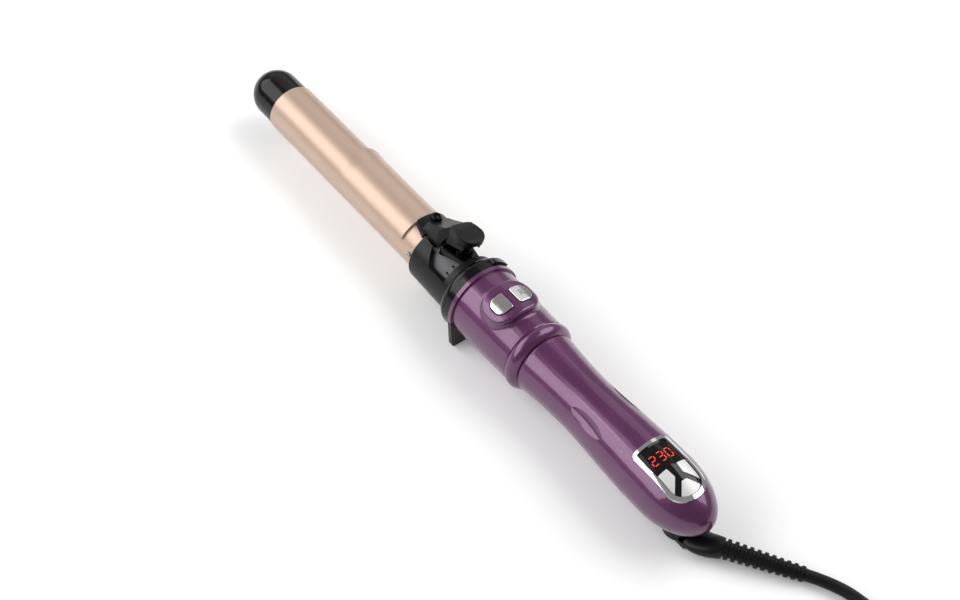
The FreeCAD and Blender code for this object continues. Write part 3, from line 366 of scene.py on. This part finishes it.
AROUND = (1, 0.02, 0.02)      # grain stretched round the tool's long axis
ALONG = (0.03, 1, 1)          # grain stretched along it
CHAMPAGNE = dict(metal=0.4, stretch=(1, 0.1, 0.1), patch=14, bump=4, coat=0.15,
                 coat_roughness=0.3)
METAL = dict(metal=1.0)
TURNED = dict(metal=1.0, stretch=AROUND)
DRAWN = dict(metal=1.0, stretch=ALONG)
FINISHES = {
    # slot: two shades, roughness from and to, grain, and what differs from plain plastic
    "barrel_coat": ((191, 165, 147), (184, 158, 140), (0.30, 0.40), 3000, CHAMPAGNE),
    "clip_coat": ((192, 166, 148), (185, 159, 141), (0.30, 0.40), 3000, CHAMPAGNE),
    "black_gloss": ((6, 6, 7), (11, 11, 12), (0.12, 0.20), 500, dict(bump=3, specular=0.25)),
    "black_plastic": ((9, 9, 10), (15, 15, 16), (0.30, 0.42), 1800, dict(bump=8, specular=0.25)),
    "grey_plastic": ((84, 84, 86), (94, 94, 96), (0.36, 0.46), 1500, dict(bump=8, specular=0.35)),
    "heat_plastic": ((190, 182, 166), (176, 166, 148), (0.50, 0.70), 1200, {}),
    "foot_plastic": ((30, 26, 30), (38, 33, 37), (0.30, 0.40), 1500, dict(bump=6, specular=0.3)),
    "silver_key": ((232, 231, 227), (222, 221, 218), (0.08, 0.16), 1500,
                   dict(metal=1.0, patch=300, bump=2)),
    "chrome_trim": ((238, 238, 240), (228, 228, 231), (0.04, 0.08), 900, dict(metal=1.0, bump=1)),
    "pale_key": ((222, 221, 219), (214, 213, 212), (0.30, 0.40), 1800, dict(metal=0.15, bump=4)),
    "window_black": ((10, 8, 10), (16, 13, 15), (0.05, 0.10), 400, dict(bump=1, specular=0.4)),
    "aluminium": ((190, 190, 190), (170, 170, 172), (0.30, 0.45), 2500, DRAWN),
    "ceramic": ((226, 219, 206), (212, 204, 190), (0.50, 0.70), 1500, {}),
    "steel": ((176, 176, 178), (150, 150, 153), (0.18, 0.34), 2600, TURNED),
    "dark_steel": ((30, 30, 32), (44, 44, 46), (0.28, 0.45), 2200, METAL),
    "bronze": ((170, 122, 78), (150, 104, 64), (0.35, 0.50), 2600, METAL),
    "brass": ((206, 168, 92), (188, 148, 76), (0.20, 0.35), 2400, TURNED),
    "gear_plastic": ((226, 222, 210), (216, 211, 198), (0.40, 0.50), 1200, {}),
    "board_green": ((26, 92, 52), (20, 78, 44), (0.30, 0.42), 1600, dict(patch=220)),
    "part_black": ((24, 24, 26), (36, 36, 38), (0.40, 0.55), 1400, {}),
    "wire_cover": ((222, 219, 210), (210, 206, 196), (0.40, 0.50), 1400, {}),
    "cord_rubber": ((9, 9, 10), (15, 15, 16), (0.38, 0.50), 2200, dict(bump=20, specular=0.2)),
    "tie_black": ((20, 20, 21), (30, 30, 31), (0.50, 0.65), 1800, dict(bump=20)),
    "plug_plastic": ((20, 20, 21), (28, 28, 29), (0.45, 0.60), 2400, dict(bump=30)),
    "plated_pin": ((205, 200, 190), (190, 184, 172), (0.15, 0.30), 2400, DRAWN),
}

PEARL_SHADES, PEARL_PATCH = (rgb(86, 32, 80), rgb(96, 40, 90)), 30
PEARL_METAL, PEARL_ROUGHNESS, PEARL_GRAIN = 0.45, (0.30, 0.38), 900
PEARL_COAT, PEARL_COAT_ROUGHNESS = 0.8, 0.04
# the flakes are real, but their sparkle is a painted glint: a lighter colour mixed into the base
PAINTED_FLAKE_GLINT, FLAKE_SCALE = rgb(196, 140, 190), 4200.0
FLAKE_FROM, FLAKE_GLINT_MOST = 0.72, 0.14   # which flake cells get a painted glint, and how strongly at most
RIPPLE_SCALE, RIPPLE_DETAIL, RIPPLE_MICRONS = 260, 2, 6


def pearl(name):
    """Pearl lacquer: a colour with flakes, their glint painted into it as lighter specks, under a
    clear coat with a faint ripple.
    """
    material, tree, shader, coords = graph(name)
    base = mixed(tree, spread(tree, noise(tree, coords, PEARL_PATCH), 0, 1), *PEARL_SHADES)
    # painted glint: chosen cells are lightened towards the flake colour, standing in for the
    # flakes' sparkle
    cells = node(tree, "ShaderNodeTexVoronoi", {"Vector": coords, "Scale": FLAKE_SCALE})
    painted_glint = node(tree, "ShaderNodeMapRange", {"Value": cells.outputs["Color"],
                                                "From Min": FLAKE_FROM, "From Max": 1.0,
                                                "To Min": 0.0, "To Max": FLAKE_GLINT_MOST})
    colour = mixed(tree, painted_glint.outputs["Result"], base, PAINTED_FLAKE_GLINT)
    tree.links.new(colour, shader.inputs["Base Color"])
    grain = spread(tree, noise(tree, coords, PEARL_GRAIN), *PEARL_ROUGHNESS)
    tree.links.new(grain, shader.inputs["Roughness"])
    bumped(tree, shader, noise(tree, coords, RIPPLE_SCALE, detail=RIPPLE_DETAIL), RIPPLE_MICRONS)
    set_inputs(shader, {"Metallic": PEARL_METAL, "Coat Weight": PEARL_COAT,
                        "Coat Roughness": PEARL_COAT_ROUGHNESS})
    return material


LIT_SHADES, LIT_GRAIN = ((0.9, 0.02, 0.015, 1), (1.0, 0.06, 0.03, 1)), 2600
LIT_STRENGTH, LIT_ROUGHNESS = 0.45, 0.4


def lit(name):
    """The display's glowing figures."""
    material, tree, shader, coords = graph(name)
    colour = mixed(tree, spread(tree, noise(tree, coords, LIT_GRAIN), 0, 1), *LIT_SHADES)
    tree.links.new(colour, shader.inputs["Base Color"])
    tree.links.new(colour, shader.inputs["Emission Color"])
    set_inputs(shader, {"Emission Strength": LIT_STRENGTH, "Roughness": LIT_ROUGHNESS})
    return material


PAPER_SHADES, PAPER_PATCH = ((0.86, 0.86, 0.86, 1), (0.88, 0.88, 0.88, 1)), 60
PAPER_ROUGHNESS, PAPER_GLOW = 0.85, 0.12


def paper(name):
    """White surface with a slight glow, so that it stays white away from the lights."""
    material, tree, shader, coords = graph(name)
    colour = mixed(tree, noise(tree, coords, PAPER_PATCH), *PAPER_SHADES)
    tree.links.new(colour, shader.inputs["Base Color"])
    set_inputs(shader, {"Roughness": PAPER_ROUGHNESS, "Emission Color": WHITE,
                        "Emission Strength": PAPER_GLOW})
    return material


materials = {slot: finish(slot, *entry[:-1], **entry[-1]) for slot, entry in FINISHES.items()}
materials["purple_shell"] = pearl("purple_shell")
materials["lit_red"] = lit("lit_red")

cord.data.materials.append(materials["cord_rubber"])
spring.data.materials.append(materials["dark_steel"])
for letter in letters:
    letter.data.materials.append(materials["steel"])
floor.data.materials.append(paper("floor_white"))
for entry in frame["record"]["subparts"]:
    for place in nodes[entry["node"]].material_slots:
        place.material = materials[entry["material_slot"]]

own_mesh(spring)

bpy.context.view_layer.update()
